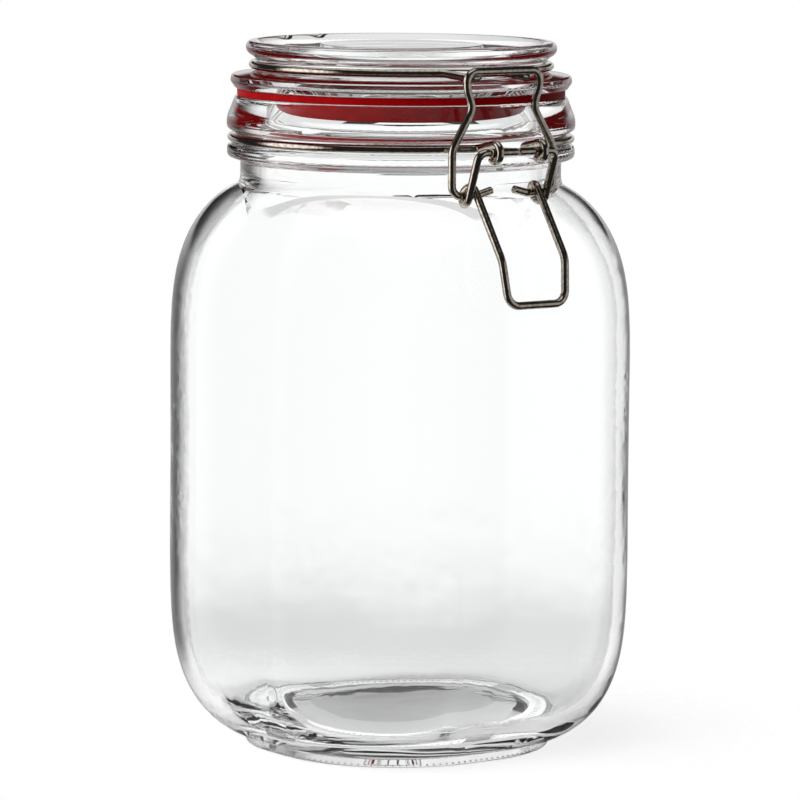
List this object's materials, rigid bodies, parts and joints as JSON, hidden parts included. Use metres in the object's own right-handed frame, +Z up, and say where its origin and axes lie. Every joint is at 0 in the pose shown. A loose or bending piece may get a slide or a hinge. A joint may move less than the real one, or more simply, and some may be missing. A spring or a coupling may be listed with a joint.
{
  "type": "clip-top glass jar",
  "caption": "Tall rounded-square glass storage jar with a hinged glass lid, a rubber gasket, and a wire lever and bail that clamp the lid shut.",
  "frame": {"origin": "on the jar's axis, in the plane that the foot stands on", "axes": "+Z up along the jar's axis, -Y towards the clip at the front, +Y towards the lid's hinge, +X to the right of the clip"},
  "size_m": [0.1186, 0.1276, 0.2051],
  "materials": {
    "glass": "clear pressed glass",
    "wire": "bright plated steel wire",
    "gasket": "satin red rubber"
  },
  "bodies": {
    "jar": {"jar_body": "glass", "neck_wire": "wire"},
    "lid": {"glass_lid": "glass", "rubber_gasket": "gasket", "lid_wire": "wire"},
    "lever": {"lever": "wire"},
    "bail": {"locking_bail": "wire"}
  },
  "joints": [
    {"name": "lid_hinge", "type": "hinge", "parent": "jar", "child": "lid", "pos_m": [0, 0.056, 0.1773], "axis": [-1, 0, 0], "range_deg": [0, 115]},
    {"name": "lever_pivot", "type": "hinge", "parent": "jar", "child": "lever", "pos_m": [0, -0.0571, 0.1767], "axis": [-1, 0, 0], "range_deg": [0, 100]},
    {"name": "bail_pivot", "type": "hinge", "parent": "lever", "child": "bail", "pos_m": [0, -0.05, 0.16431], "axis": [-1, 0, 0], "range_deg": [-120, 0]}
  ],
  "couplings": [
    {"joint": "bail_pivot", "follows": "lever_pivot", "ratio": -1.2}
  ]
}
